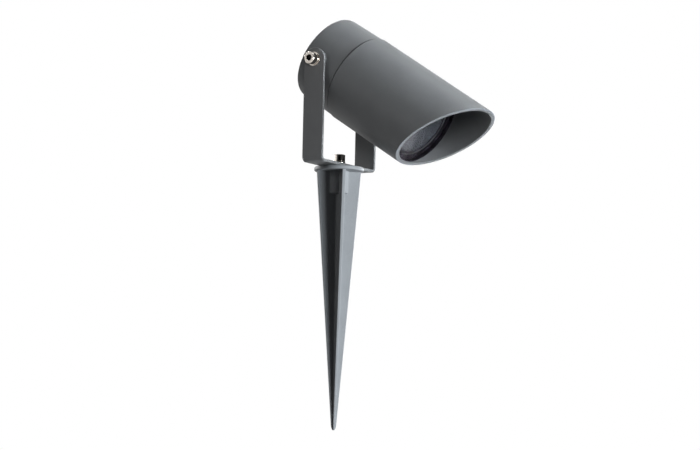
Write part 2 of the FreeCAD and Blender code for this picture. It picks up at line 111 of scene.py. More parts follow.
FINE = 192
MEDIUM = 96
SMALL = 64
HOOD_CUT_ANGLE = math.radians(30.4)
HOOD_TURN = math.radians(9.4)
SEAT_CLEARANCE = 0.03 * MM
HOOD_RIM_ROUND = 0.35 * MM
# Width of the band on the hood's rim where a highlight is painted into the coat's colour.
HOOD_PAINTED_HIGHLIGHT_BAND = 1.3 * MM
SEAM_EDGE_ROUND = 0.25 * MM
HOUSING_REAR_ROUND = 3.0 * MM
HOUSING_FLOOR = 3.5 * MM
HOUSING_WALL = 3.6 * MM
LEDGE_THICKNESS = 3.0 * MM
SPIGOT_LENGTH = 9.0 * MM
THREAD_CLEARANCE = 0.05 * MM
PIVOT_BOSS_RADIUS = 7.0 * MM
PIVOT_BOSS_ROUND = 0.5 * MM
PIVOT_INNER_RADIUS = 5.5 * MM
POST_RADIUS = 3.6 * MM
GLAND_HOLE_RADIUS = 6.1 * MM
STRIP_THICKNESS = 2.0 * MM
STRIP_BEND_RADIUS = 2.0 * MM
STRIP_EDGE_ROUND = 0.35 * MM
BEND_STEPS = 10
SCREW_RADIUS = 2.5 * MM
SCREW_HEAD_RADIUS = 4.25 * MM
SCREW_HEAD_HEIGHT = 5.0 * MM
SCREW_HEAD_ROUND = 0.6 * MM
SCREW_SOCKET_FLATS = 4.0 * MM
SCREW_SOCKET_DEPTH = 2.6 * MM
SCREW_SOCKET_POINT = 1.15 * MM
WASHER_HOLE_RADIUS = 2.65 * MM
WASHER_ROUND = 0.18 * MM
WASHER_STEPS = 3
SPRING_WASHER_GAP = math.radians(12)
GLASS_CHAMFER = 0.4 * MM
LENS_BORDER = 0.5 * MM
LENS_STEP = 0.3 * MM
FIN_TURN = math.radians(45)
FIN_REACH_TOP = 16.15 * MM
FIN_REACH_TIP = 1.9 * MM
FIN_THICKNESS_TOP = 2.8 * MM
FIN_THICKNESS_TIP = 1.4 * MM
FIN_ROOT_ROUND_TOP = 1.8 * MM
FIN_ROOT_ROUND_TIP = 0.4 * MM
FIN_EDGE_ROUND_TOP = 0.6 * MM
FIN_EDGE_ROUND_TIP = 0.3 * MM
POINT_HEIGHT = 4.0 * MM
POINT_SHARE = 0.4
FLANGE_ROUND = 1.1 * MM
BOSS_RADIUS = 7.0 * MM
BOSS_LENGTH = 16.0 * MM
GLAND_FLATS = 15.0 * MM
GLAND_DOME = 2.6 * MM
GLAND_DOME_STEPS = 6
GLAND_BORE_CHAMFER = 0.5 * MM
GLAND_BORE_LIP = 0.6 * MM
EDGE_BREAK = 0.3 * MM
HOLE_SPARE = 2.0 * MM
INNER_BOSS_SPARE = 1.5 * MM
ROOT_OVERLAP = 0.4 * MM
ARM_HOLE_CLEARANCE = 0.08 * MM
SOCKET_CHAMFER = 0.25 * MM
SOCKET_SHARE = 0.56
HEAD_SEAT_ROUND = 0.15 * MM
LENS_EDGE_ROUND = 0.15 * MM
LENS_BORDER_ROUND = 0.1 * MM
SEAL_BULGE_SHARE = 0.6
FIN_STEPS = 24
POINT_STEPS = (0.3, 0.6, 0.85, 1.0)
BOSS_END_ROUND = 0.6 * MM
HOLE_EDGE_ROUND = 0.2 * MM
WALL_PROBE = 0.3 * MM

# ---------------------------------------------------------------- places read from the frame

BODY_OF = {
    node: body for body, nodes in frame["record"]["behaviour"]["bodies"].items() for node in nodes
}
PIECE_BODY = {}
TILT_JOINT = next(joint for joint in frame["joints"] if joint["name"] == "head_tilt")
CABLE_ENTRY = next(mount for mount in frame["record"]["mounts"] if mount["name"] == "cable_entry")
PIVOT = Vector(TILT_JOINT["pos_m"])
HEAD_TILT = math.atan2(CABLE_ENTRY["axis"][2], CABLE_ENTRY["axis"][1])
BARREL = (
    Matrix.Translation(PIVOT) @ Matrix.Rotation(HEAD_TILT, 4, "X") @ Matrix.Rotation(math.pi / 2, 4, "X")
)
TO_BARREL = BARREL.inverted()


def barrel_points(node):
    """A node's vertices in the head's own frame."""
    return [TO_BARREL @ vertex.co for vertex in frame["nodes"][node].data.vertices]


def stations(node):
    """The least and greatest station of a node."""
    values = [point.z for point in barrel_points(node)]
    return min(values), max(values)


def radii(node):
    """The least and greatest distance of a node's corners from the head's axis."""
    values = [math.hypot(point.x, point.y) for point in barrel_points(node)]
    return min(values), max(values)


# ---------------------------------------------------------------- mesh helpers


def rounded(outline, steps=4):
    """Points of a closed outline of (a, b, radius), with each corner rounded by its own radius."""
    points = []
    for k, (a, b, radius) in enumerate(outline):
        corner = Vector((a, b))
        if not radius:
            points.append(corner)
            continue
        back = (Vector(outline[k - 1][:2]) - corner).normalized()
        ahead = (Vector(outline[(k + 1) % len(outline)][:2]) - corner).normalized()
        half = back.angle(ahead) / 2
        centre = corner + (back + ahead).normalized() * radius / math.sin(half)
        first = corner + back * radius / math.tan(half) - centre
        last = corner + ahead * radius / math.tan(half) - centre
        points += [centre + first.slerp(last, i / steps) * radius for i in range(steps + 1)]
    return points


def add_grid(mesh, rows, closed=True):
    """Quads between neighbouring rows of points; each row is a closed loop."""
    made = [[mesh.verts.new(point) for point in row] for row in rows]
    count = len(made)
    for k in range(count if closed else count - 1):
        here, ahead = made[k], made[(k + 1) % count]
        for i in range(len(here)):
            j = (i + 1) % len(here)
            mesh.faces.new((here[i], here[j], ahead[j], ahead[i]))
    if not closed:
        mesh.faces.new(made[0][::-1])
        mesh.faces.new(made[-1])


def add_turned(mesh, outline_at, segments, place=Matrix.Identity(4)):
    """A ring about local Z; outline_at(angle) is its closed outline of (radius, height) at that angle."""
    rows = []
    for k in range(segments):
        angle = math.tau * k / segments
        across = Vector((math.sin(angle), math.cos(angle), 0))
        rows.append([place @ (across * p[0] + Vector((0, 0, p[1]))) for p in outline_at(angle)])
    add_grid(mesh, rows)


def constant(outline, steps=4):
    """The same rounded outline at every angle."""
    points = rounded(outline, steps)
    return lambda angle: points


def hexagon_radius(flats, angle):
    """Distance from the centre of a hexagon to its side at this angle."""
    sixth = math.pi / 3
    return flats / 2 / math.cos((angle % sixth) - sixth / 2)


def new_mesh():
    return bmesh.new()


def finish_piece(mesh, name, slot, *nodes, sharp=math.radians(38), marked=None):
    """Cleans a mesh and makes it the object that stands for these nodes.

    Faces whose middle the marked test picks carry the value 1 in the attribute that the materials read.
    """
    bmesh.ops.remove_doubles(mesh, verts=mesh.verts, dist=1e-7)
    bmesh.ops.dissolve_degenerate(mesh, edges=mesh.edges, dist=1e-8)
    bmesh.ops.recalc_face_normals(mesh, faces=mesh.faces)
    data = bpy.data.meshes.new(name)
    mesh.to_mesh(data)
    mesh.free()
    data.set_sharp_from_angle(angle=sharp)
    if marked:
        marks = data.attributes.new(MARK, "FLOAT", "FACE")
        for face in data.polygons:
            marks.data[face.index].value = float(marked(face.center))
    piece = bpy.data.objects.new(name, data)
    bpy.context.scene.collection.objects.link(piece)
    weighted = piece.modifiers.new("flat_faces", "WEIGHTED_NORMAL")
    weighted.keep_sharp = True
    PIECE_BODY[name] = BODY_OF[nodes[0]]
    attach(piece, BODY_OF[nodes[0]])
    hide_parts(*nodes)
    data.materials.append(MATERIALS[slot])
    return piece


# ---------------------------------------------------------------- materials


class Graph:
    """A small wrapper for building one material's nodes."""

    def __init__(self, name):
        self.material = bpy.data.materials.new(name)
        self.material.use_nodes = True
        self.tree = self.material.node_tree
        self.shader = self.tree.nodes["Principled BSDF"]
        self.place = self.node("ShaderNodeTexCoord").outputs["Object"]

    def node(self, kind, **settings):
        made = self.tree.nodes.new(kind)
        for name, value in settings.items():
            setattr(made, name, value)
        return made

    def link(self, output, socket):
        self.tree.links.new(output, socket)

    def set(self, **values):
        """Constant values on the shader's own sockets; underscores stand for spaces."""
        for name, value in values.items():
            self.shader.inputs[name.replace("_", " ")].default_value = value

    def noise(self, scale, detail=3.0, roughness=0.55, stretch=(1, 1, 1)):
        """Noise with features about 1/scale metres across, stretched along the axes."""
        mapping = self.node("ShaderNodeMapping")
        mapping.inputs["Scale"].default_value = stretch
        texture = self.node("ShaderNodeTexNoise")
        texture.inputs["Scale"].default_value = scale
        texture.inputs["Detail"].default_value = detail
        texture.inputs["Roughness"].default_value = roughness
        self.link(self.place, mapping.inputs["Vector"])
        self.link(mapping.outputs["Vector"], texture.inputs["Vector"])
        return texture.outputs["Fac"]

    def ramp(self, value, *stops):
        """Colour ramp through (position, colour) stops."""
        made = self.node("ShaderNodeValToRGB")
        elements = made.color_ramp.elements
        while len(elements) < len(stops):
            elements.new(0.5)
        for element, (position, colour) in zip(elements, stops):
            element.position = position
            element.color = (*colour, 1)
        self.link(value, made.inputs["Fac"])
        return made.outputs["Color"]

    def remap(self, value, low, high, new_low, new_high):
        made = self.node("ShaderNodeMapRange")
        settings = {"From Min": low, "From Max": high, "To Min": new_low, "To Max": new_high}
        for name, number in settings.items():
            made.inputs[name].default_value = number
        self.link(value, made.inputs["Value"])
        return made.outputs["Result"]

    def mix(self, factor, first, second):
        """Colour mix of two sockets by a factor socket."""
        made = self.node("ShaderNodeMix", data_type="RGBA")
        self.link(factor, made.inputs["Factor"])
        self.link(first, made.inputs["A"])
        self.link(second, made.inputs["B"])
        return made.outputs["Result"]

    def marked(self):
        """The value of the faces that a piece marked: 1 there and 0 elsewhere."""
        return self.node("ShaderNodeAttribute", attribute_name=MARK).outputs["Fac"]

    def marked_colour(self, usual, colour):
        """Another colour on the marked faces."""
        return self.mix(self.marked(), usual, self.ramp(self.marked(), (0.0, colour), (1.0, colour)))

    def colour(self, socket):
        self.link(socket, self.shader.inputs["Base Color"])

    def roughness(self, socket):
        self.link(socket, self.shader.inputs["Roughness"])

    def bump(self, *heights):
        """Bumps from (height socket, distance in metres), the coarsest first."""
        normal = None
        for height, distance in heights:
            made = self.node("ShaderNodeBump")
            made.inputs["Distance"].default_value = distance
            self.link(height, made.inputs["Height"])
            if normal:
                self.link(normal, made.inputs["Normal"])
            normal = made.outputs["Normal"]
        self.link(normal, self.shader.inputs["Normal"])


def shades(base, spread):
    """A darker and a lighter shade of a colour."""
    return tuple(c * (1 - spread) for c in base), tuple(c * (1 + spread) for c in base)


def powder_coat(name, base, rough, grain, edge):
    """Satin powder coat: fine orange peel, faint cloudiness and a slightly uneven sheen.

    On the faces that a piece marks, the hood's rim, a lighter colour is painted as the highlight that the rim
    catches.
    """
    graph = Graph(name)
    cloud = graph.noise(60)
    dark, light = shades(base, 0.05)
    # The colour given as edge is a painted highlight on the marked faces.
    graph.colour(graph.marked_colour(graph.ramp(cloud, (0.3, dark), (0.7, light)), edge))
    peel = graph.noise(grain, detail=2)
    graph.roughness(graph.remap(peel, 0.3, 0.7, rough - 0.05, rough + 0.05))
    graph.bump((graph.noise(900, detail=2), 0.00003), (peel, 0.00002))
    graph.set(Specular_IOR_Level=0.22)
    return graph.material


def cast_metal(name, base):
    """Lightly blasted cast alloy under a thin silver-grey coat, with fine sparkle and grain."""
    graph = Graph(name)
    cloud = graph.noise(45, detail=4)
    speck = graph.noise(2600, detail=3, roughness=0.7)
    dark, light = shades(base, 0.10)
    tone = graph.ramp(cloud, (0.3, dark), (0.7, light))
    bright = graph.ramp(speck, (0.35, shades(base, 0.22)[0]), (0.65, shades(base, 0.25)[1]))
    graph.colour(graph.mix(graph.remap(speck, 0.4, 0.6, 0.25, 0.6), tone, bright))
    graph.roughness(graph.remap(speck, 0.3, 0.7, 0.38, 0.56))
    graph.bump((graph.noise(500, detail=3), 0.00006), (speck, 0.00004))
    graph.set(Specular_IOR_Level=0.10)
    return graph.material


def polished_steel(name, base, rough):
    """Turned steel: fine lines round the piece and a few dull spots; a marked recess is painted black as
    shade.
    """
    graph = Graph(name)
    lines = graph.noise(4000, detail=2, stretch=(1, 1, 0.05))
    dull = graph.noise(700, detail=3)
    dark, light = shades(base, 0.12)
    # Marked faces, the insides of the screws' sockets, are painted black as the shade in the recess.
    graph.colour(graph.marked_colour(graph.ramp(dull, (0.35, dark), (0.65, light)), (0.01, 0.01, 0.01)))
    graph.roughness(graph.remap(lines, 0.3, 0.7, rough * 0.6, rough * 1.5))
    graph.bump((lines, 0.000008))
    graph.set(Metallic=1.0)
    return graph.material


def rubber(name, base, rough=0.7, gloss=0.35):
    """Moulded rubber: matt, with a faint bloom and fine texture."""
    graph = Graph(name)
    bloom = graph.noise(220, detail=4)
    dark, light = shades(base, 0.25)
    graph.colour(graph.ramp(bloom, (0.3, dark), (0.7, light)))
    graph.roughness(graph.remap(bloom, 0.3, 0.7, rough - 0.08, rough + 0.08))
    graph.bump((graph.noise(3000), 0.00002))
    graph.set(Specular_IOR_Level=gloss)
    return graph.material


def plastic(name, base, rough=0.42, gloss=0.5):
    """Moulded plastic with a fine spark-eroded texture."""
    graph = Graph(name)
    mottle = graph.noise(150)
    dark, light = shades(base, 0.08)
    graph.colour(graph.ramp(mottle, (0.3, dark), (0.7, light)))
    texture = graph.noise(2200, detail=2)
    graph.roughness(graph.remap(texture, 0.3, 0.7, rough - 0.06, rough + 0.08))
    graph.bump((texture, 0.00002))
    graph.set(Specular_IOR_Level=gloss)
    return graph.material


def clear_glass(name):
    """Clear glass; its index is far below real glass, so that the white studio hardly mirrors in it."""
    graph = Graph(name)
    smear = graph.noise(30, detail=2)
    graph.roughness(graph.remap(smear, 0.3, 0.7, 0.0, 0.008))
    graph.set(
        Base_Color=(0.92, 0.93, 0.96, 1), Transmission_Weight=1.0, IOR=1.09, Specular_Tint=(0.8, 0.6, 1.0, 1)
    )
    return graph.material


def frosted_lens(name):
    """Smoked satin lamp cover: dark in itself, so that it shows what it reflects."""
    graph = Graph(name)
    frost = graph.noise(5000, detail=2)
    cloud = graph.noise(90)
    satin = graph.ramp(cloud, (0.3, (0.034, 0.037, 0.043)), (0.7, (0.040, 0.044, 0.051)))
    graph.colour(graph.marked_colour(satin, (0.004, 0.003, 0.005)))
    smooth = graph.remap(frost, 0.3, 0.7, 0.18, 0.20)
    graph.roughness(graph.mix(graph.marked(), smooth, graph.ramp(graph.marked(), (0.0, WHITE), (1.0, WHITE))))
    graph.set(Specular_IOR_Level=0.9)
    return graph.material


def led_board(name):
    """White board with small square light sources in rows."""
    graph = Graph(name)
    cells = graph.node("ShaderNodeTexVoronoi", distance="CHEBYCHEV")
    cells.inputs["Scale"].default_value = 260
    cells.inputs["Randomness"].default_value = 0
    graph.link(graph.place, cells.inputs["Vector"])
    graph.colour(
        graph.ramp(cells.outputs["Distance"], (0.22, (0.75, 0.55, 0.10)), (0.30, (0.80, 0.80, 0.78)))
    )
    graph.roughness(graph.remap(graph.noise(1500), 0.3, 0.7, 0.35, 0.5))
    graph.bump((graph.noise(1500), 0.00002))
    return graph.material


MATERIALS = {
    # The last colour of each coat is a painted highlight for marked faces; only the hood's rim is marked.
    "head_coat": powder_coat("head_coat", (0.109, 0.113, 0.117), 0.44, 2600, (0.15, 0.158, 0.172)),
    "bracket_coat": powder_coat("bracket_coat", (0.106, 0.108, 0.111), 0.50, 3200, (0.20, 0.21, 0.22)),
    "spike_metal": cast_metal("spike_metal", (0.278, 0.288, 0.302)),
    "stainless_steel": polished_steel("stainless_steel", (0.50, 0.46, 0.42), 0.10),
    "zinc_steel": polished_steel("zinc_steel", (0.62, 0.63, 0.62), 0.30),
    "black_rubber": rubber("black_rubber", (0.012, 0.012, 0.013)),
    "black_silicone": rubber("black_silicone", (0.015, 0.013, 0.018), 0.7, 0.0),
    "black_nylon": plastic("black_nylon", (0.018, 0.018, 0.019)),
    "clear_glass": clear_glass("clear_glass"),
    "lamp_shell": plastic("lamp_shell", (0.020, 0.019, 0.023), 0.6, 0.0),
    "frosted_lens": frosted_lens("frosted_lens"),
    "led_board": led_board("led_board"),
    "lamp_brass": polished_steel("lamp_brass", (0.72, 0.52, 0.24), 0.28),
    "white_ceramic": plastic("white_ceramic", (0.78, 0.77, 0.73), 0.30),
    "lead_silicone": rubber("lead_silicone", (0.62, 0.60, 0.56), 0.5),
    "terminal_plastic": plastic("terminal_plastic", (0.66, 0.65, 0.60), 0.38),
}

# ---------------------------------------------------------------- hood, housing, glass and seals


def hood_bore():
    """Radius of the hood's bore, which the glass seal fills."""
    return radii("glass_seal")[1] + SEAT_CLEARANCE


def front_hood():
    start, longest = stations("front_hood")
    opening, outer = radii("front_hood")
    bore = hood_bore()
    ledge_front = stations("glass_seal")[0]
    ledge_rear = ledge_front - LEDGE_THICKNESS
    slope = math.tan(HOOD_CUT_ANGLE)
    border = outer - HOOD_PAINTED_HIGHLIGHT_BAND

    def mouth(angle, radius):
        """Station of the slanted mouth at this angle from the head's top."""
        return longest - outer * slope + radius * slope * math.cos(angle - HOOD_TURN)

    def outline_at(angle):
        return rounded(
            [
                (outer, start, SEAM_EDGE_ROUND),
                (outer, mouth(angle, outer), HOOD_RIM_ROUND),
                (border, mouth(angle, border), 0),
                (bore, mouth(angle, bore), HOOD_RIM_ROUND),
                (bore, ledge_front, 0),
                (opening, ledge_front, SEAM_EDGE_ROUND),
                (opening, ledge_rear, SEAM_EDGE_ROUND),
                (bore, ledge_rear, 0),
                (bore, start, SEAM_EDGE_ROUND),
            ]
        )

    # The rim's faces are marked, so that the coat is painted lighter there as a highlight.
    def on_rim(centre):
        point = TO_BARREL @ centre
        radius = math.hypot(point.x, point.y)
        from_cut = abs(point.z - mouth(math.atan2(point.x, point.y), radius))
        return from_cut < HOOD_RIM_ROUND and radius > outer - HOOD_PAINTED_HIGHLIGHT_BAND

    mesh = new_mesh()
    add_turned(mesh, outline_at, FINE, BARREL)
    finish_piece(mesh, "hood_shell", "head_coat", "front_hood", marked=on_rim)


def rear_housing():
    rear = stations("rear_housing")[0]
    seam = stations("hood_seal")[0]
    rear_radius, seam_radius = housing_radii(rear, seam)
    bore = rear_radius - HOUSING_WALL
    spigot = hood_bore() - THREAD_CLEARANCE
    floor = rear + HOUSING_FLOOR
    mesh = new_mesh()
    shell = constant(
        [
            (GLAND_HOLE_RADIUS, rear, 0),
            (rear_radius, rear, HOUSING_REAR_ROUND),
            (seam_radius, seam, SEAM_EDGE_ROUND),
            (spigot, seam, 0),
            (spigot, seam + SPIGOT_LENGTH, SEAM_EDGE_ROUND),
            (bore, seam + SPIGOT_LENGTH, SEAM_EDGE_ROUND),
            (bore, floor, HOUSING_REAR_ROUND),
            (GLAND_HOLE_RADIUS, floor, 0),
        ],
        6,
    )
    add_turned(mesh, shell, FINE, BARREL)
    face = max(abs(point.x) for point in barrel_points("rear_housing"))
    boss = constant(
        [
            (SCREW_RADIUS, bore, 0),
            (PIVOT_BOSS_RADIUS, bore, 0),
            (PIVOT_BOSS_RADIUS, face, PIVOT_BOSS_ROUND),
            (SCREW_RADIUS, face, 0),
        ]
    )
    inner_end = side_span("pivot_screws")[0] - INNER_BOSS_SPARE
    inner_boss = rod_outline(PIVOT_INNER_RADIUS, inner_end, bore + ROOT_OVERLAP)
    for side in (-1, 1):
        add_turned(mesh, boss, MEDIUM, Matrix.Translation(PIVOT) @ sideways(side))
        add_turned(mesh, inner_boss, SMALL, Matrix.Translation(PIVOT) @ sideways(side))
    post = rod_outline(POST_RADIUS, floor - ROOT_OVERLAP, stations("lampholder_bridge")[0])
    for screw in mirrored_places("bridge_screws"):
        add_turned(mesh, post, SMALL, BARREL @ Matrix.Translation((screw.x, screw.y, 0)))
    finish_piece(mesh, "housing_shell", "head_coat", "rear_housing")


def rod_outline(radius, start, end):
    """Outline of a plain round post between two heights, with the edges of its ends broken."""
    return constant([(0, start, 0), (radius, start, EDGE_BREAK), (radius, end, EDGE_BREAK), (0, end, 0)], 3)


def mirrored_places(node):
    """Middles of the two copies in a node, on either side of the head's axis."""
    places = []
    for side in (-1, 1):
        points = [p for p in barrel_points(node) if p.x * side > 0]
        low = [min(p[k] for p in points) for k in range(3)]
        high = [max(p[k] for p in points) for k in range(3)]
        places.append((Vector(low) + Vector(high)) / 2)
    return places


def housing_radii(rear, seam):
    """Radius of the housing's wall near its rear and at the seam."""
    reach = WALL_PROBE
    points = barrel_points("rear_housing")
    wall = [p for p in points if abs(p.x) < PIVOT_BOSS_RADIUS * 3]
    near_seam = [math.hypot(p.x, p.y) for p in wall if abs(p.z - seam) < reach]
    near_rear = [math.hypot(p.x, p.y) for p in wall if rear + reach < p.z < rear + 6 * reach]
    return max(near_rear), max(near_seam)


def sideways(side):
    """Turns local Z to the row's X axis, outwards on this side."""
    return Matrix.Rotation(side * math.pi / 2, 4, "Y")


def hood_seal():
    start, end = stations("hood_seal")
    inner, outer = radii("hood_seal")
    bulge = (end - start) / 2 * SEAL_BULGE_SHARE
    mesh = new_mesh()
    ring = constant([(inner, start, 0), (outer, start, bulge), (outer, end, bulge), (inner, end, 0)], 3)
    add_turned(mesh, ring, FINE, BARREL)
    finish_piece(mesh, "seam_gasket", "black_rubber", "hood_seal")


def front_glass():
    start, end = stations("front_glass")
    outer = radii("front_glass")[1]
    mesh = new_mesh()
    disc = constant(
        [(0, start, 0), (outer, start, GLASS_CHAMFER / 2), (outer, end - GLASS_CHAMFER, 0),
         (outer - GLASS_CHAMFER, end, 0), (0, end, 0)]
    )
    add_turned(mesh, disc, FINE, BARREL)
    finish_piece(mesh, "clear_window", "clear_glass", "front_glass", sharp=math.radians(30))


def lamp_lens():
    """Satin cover in the lamp's face, with a matt black border."""
    start, end = stations("lamp_lens")
    outer = radii("lamp_lens")[1]
    clear = outer - LENS_BORDER
    mesh = new_mesh()
    disc = constant(
        [(0, start, 0), (outer, start, 0), (outer, end - LENS_STEP, LENS_BORDER_ROUND),
         (clear, end - LENS_STEP, 0), (clear, end, LENS_EDGE_ROUND), (0, end, 0)]
    )
    add_turned(mesh, disc, FINE, BARREL)

    def on_border(centre):
        point = TO_BARREL @ centre
        return math.hypot(point.x, point.y) > clear

    finish_piece(mesh, "lamp_cover", "frosted_lens", "lamp_lens", marked=on_border)


# ---------------------------------------------------------------- fasteners


def cap_screw(mesh, length, place):
    """Socket-head screw: its head sits on local Z = 0 and its shank runs below."""
    floor = SCREW_HEAD_HEIGHT - SCREW_SOCKET_DEPTH

    def outline_at(angle):
        socket = hexagon_radius(SCREW_SOCKET_FLATS, angle)
        return rounded(
            [
                (0, -length, 0),
                (SCREW_RADIUS, -length, EDGE_BREAK),
                (SCREW_RADIUS, 0, 0),
                (SCREW_HEAD_RADIUS, 0, HEAD_SEAT_ROUND),
                (SCREW_HEAD_RADIUS, SCREW_HEAD_HEIGHT, SCREW_HEAD_ROUND),
                (socket + SOCKET_CHAMFER, SCREW_HEAD_HEIGHT, 0),
                (socket, SCREW_HEAD_HEIGHT - SOCKET_CHAMFER, 0),
                (socket, floor, 0),
                (0, floor - SCREW_SOCKET_POINT, 0),
            ],
            5,
        )

    add_turned(mesh, outline_at, MEDIUM, place)


def in_socket(centre, place):
    """Whether a face lies in the hexagon socket of the screw at this place."""
    point = place.inverted() @ centre
    radius = math.hypot(point.x, point.y)
    return radius < SCREW_SOCKET_FLATS * SOCKET_SHARE and 0 < point.z < SCREW_HEAD_HEIGHT


def washer_outline(outer, thickness):
    """Section of a washer, flat or split, with every edge rounded."""
    return [
        (WASHER_HOLE_RADIUS, 0, WASHER_ROUND),
        (outer, 0, WASHER_ROUND),
        (outer, thickness, WASHER_ROUND),
        (WASHER_HOLE_RADIUS, thickness, WASHER_ROUND),
    ]


def washer(mesh, outer, thickness, place):
    add_turned(mesh, constant(washer_outline(outer, thickness), WASHER_STEPS), MEDIUM, place)


def spring_washer(mesh, outer, thickness, place):
    """Split ring whose ends stand a little apart."""
    section = rounded(washer_outline(outer, thickness), WASHER_STEPS)
    rows = []
    for k in range(SMALL + 1):
        angle = math.pi / 2 + SPRING_WASHER_GAP / 2 + (math.tau - SPRING_WASHER_GAP) * k / SMALL
        across = Vector((math.cos(angle), math.sin(angle), 0))
        rows.append([place @ (across * p[0] + Vector((0, 0, p[1]))) for p in section])
    add_grid(mesh, rows, closed=False)


def bracket_fasteners():
    """The screw, spring washer and flat washer that hold the bracket on the spike."""
    for name, node in (("base_screw", "bracket_screw"), ("base_washer", "bracket_washer"),
                       ("base_spring_washer", "bracket_spring_washer")):
        low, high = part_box(node)
        seat = Matrix.Translation((0, 0, low.z))
        mesh = new_mesh()
        sockets = []
        if node == "bracket_screw":
            sockets = [Matrix.Translation((0, 0, high.z - SCREW_HEAD_HEIGHT))]
            cap_screw(mesh, high.z - SCREW_HEAD_HEIGHT - low.z, sockets[0])
        elif node == "bracket_washer":
            washer(mesh, high.x, high.z - low.z, seat)
        else:
            spring_washer(mesh, high.x, high.z - low.z, seat)
        # The socket's faces are marked, and the steel is painted black there as shade.
        finish_piece(mesh, name, "stainless_steel", node, marked=socket_test(sockets))


def socket_test(places):
    """Face test for the sockets of screws at these places."""
    return lambda centre: any(in_socket(centre, place) for place in places)


def side_span(node):
    """Where a pivot piece starts and ends along X, on the far side."""
    values = [v.co.x for v in frame["nodes"][node].data.vertices if v.co.x > 0]
    return min(values), max(values)


def pivot_fasteners():
    """Both pivots' screws and washers, stacked outwards along X."""
    makers = {
        "pivot_screws": ("side_screws", "stainless_steel"),
        "pivot_washers": ("side_washers", "stainless_steel"),
        "pivot_spring_washers": ("side_spring_washers", "stainless_steel"),
        "pivot_friction_washers": ("side_friction_washers", "black_nylon"),
    }
    for node, (name, slot) in makers.items():
        start, end = side_span(node)
        outer = max(abs(v.co.y) for v in frame["nodes"][node].data.vertices)
        mesh = new_mesh()
        sockets = []
        for side in (-1, 1):
            if node == "pivot_screws":
                seat = end - SCREW_HEAD_HEIGHT
                place = Matrix.Translation(PIVOT) @ sideways(side) @ Matrix.Translation((0, 0, seat))
                cap_screw(mesh, seat - start, place)
                sockets.append(place)
                continue
            place = Matrix.Translation(PIVOT) @ sideways(side) @ Matrix.Translation((0, 0, start))
            maker = spring_washer if node == "pivot_spring_washers" else washer
            maker(mesh, outer, end - start, place)
        # The sockets' faces are marked, and the steel is painted black there as shade.
        finish_piece(mesh, name, slot, node, marked=socket_test(sockets))


# ---------------------------------------------------------------- bracket


def loop_of(points, inset, height, hole):
    """A loop drawn in by an inset, or widened where it is a hole, at a height."""
    count = len(points)
    made = []
    for k in range(count):
        along = (points[(k + 1) % count] - points[k - 1]).normalized()
        inward = Vector((-along.y, along.x))
        shift = inward * (-inset if hole else inset)
        made.append(Vector((points[k].x + shift.x, points[k].y + shift.y, height)))
    return made


def add_plate(mesh, outline, holes, thickness, edge_round):
    """Flat plate with rounded edges between local Z = 0 and its thickness; loops run anticlockwise."""
    steps = 3
    quarter = [math.pi / 2 * i / steps for i in range(steps + 1)]
    profile = [(edge_round * (1 - math.sin(t)), edge_round * (1 - math.cos(t))) for t in quarter]
    rows_spec = profile + [(inset, thickness - height) for inset, height in profile[::-1]]
    faces_low, faces_high = [], []
    for points, hole in [(outline, False)] + [(points, True) for points in holes]:
        made = [
            [mesh.verts.new(p) for p in loop_of(points, inset, height, hole)] for inset, height in rows_spec
        ]
        count = len(points)
        for here, ahead in zip(made, made[1:]):
            for i in range(count):
                j = (i + 1) % count
                mesh.faces.new((here[i], here[j], ahead[j], ahead[i]))
        faces_low += [mesh.edges.get((made[0][i], made[0][(i + 1) % count])) for i in range(count)]
        faces_high += [mesh.edges.get((made[-1][i], made[-1][(i + 1) % count])) for i in range(count)]
    for edges in (faces_low, faces_high):
        bmesh.ops.triangle_fill(mesh, edges=edges, use_beauty=True)


def circle(centre_x, radius, count):
    return [
        Vector((centre_x + radius * math.cos(math.tau * k / count), radius * math.sin(math.tau * k / count)))
        for k in range(count)
    ]


def strip_outline(reach, half_width):
    """Long strip with round ends, anticlockwise, between -reach and reach."""
    straight = reach - half_width
    ends = []
    for side, first in ((1, -math.pi / 2), (-1, math.pi / 2)):
        ends += [
            Vector((side * straight + half_width * math.cos(first + math.pi * k / SMALL),
                    half_width * math.sin(first + math.pi * k / SMALL)))
            for k in range(SMALL + 1)
        ]
    return ends


def u_bracket():
    """A flat plate that is bent up at both sides."""
    low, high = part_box("u_bracket")
    half_width = high.y
    bend = STRIP_BEND_RADIUS + STRIP_THICKNESS / 2
    flat = high.x - STRIP_THICKNESS - STRIP_BEND_RADIUS
    quarter = bend * math.pi / 2
    rise = high.z - low.z - STRIP_THICKNESS - STRIP_BEND_RADIUS
    reach = flat + quarter + rise
    pivot_along = reach - half_width
    mesh = new_mesh()
    hole_radius = SCREW_RADIUS + ARM_HOLE_CLEARANCE
    holes = [circle(x, hole_radius, SMALL) for x in (-pivot_along, 0, pivot_along)]
    add_plate(mesh, strip_outline(reach, half_width), holes, STRIP_THICKNESS, STRIP_EDGE_ROUND)
    cuts = [flat + quarter * i / BEND_STEPS for i in range(BEND_STEPS + 1)]
    for cut in cuts + [-cut for cut in cuts]:
        bmesh.ops.bisect_plane(
            mesh, geom=mesh.verts[:] + mesh.edges[:] + mesh.faces[:], plane_co=(cut, 0, 0), plane_no=(1, 0, 0)
        )
    for vertex in mesh.verts:
        vertex.co = bent(vertex.co, flat, bend, quarter, low.z)
    finish_piece(mesh, "bent_strip", "bracket_coat", "u_bracket", sharp=math.radians(50))


def bent(point, flat, bend, quarter, bottom):
    """Where a point of the flat plate comes to lie when its ends are bent up."""
    side = 1 if point.x > 0 else -1
    along = abs(point.x) - flat
    above = point.z - STRIP_THICKNESS / 2
    middle = bottom + STRIP_THICKNESS / 2
    if along <= 0:
        return Vector((point.x, point.y, middle + above))
    turn = min(along / quarter, 1) * math.pi / 2
    radius = bend - above
    x = flat + radius * math.sin(turn)
    z = middle + bend - radius * math.cos(turn) + max(along - quarter, 0)
    return Vector((side * x, point.y, z))


# ---------------------------------------------------------------- spike


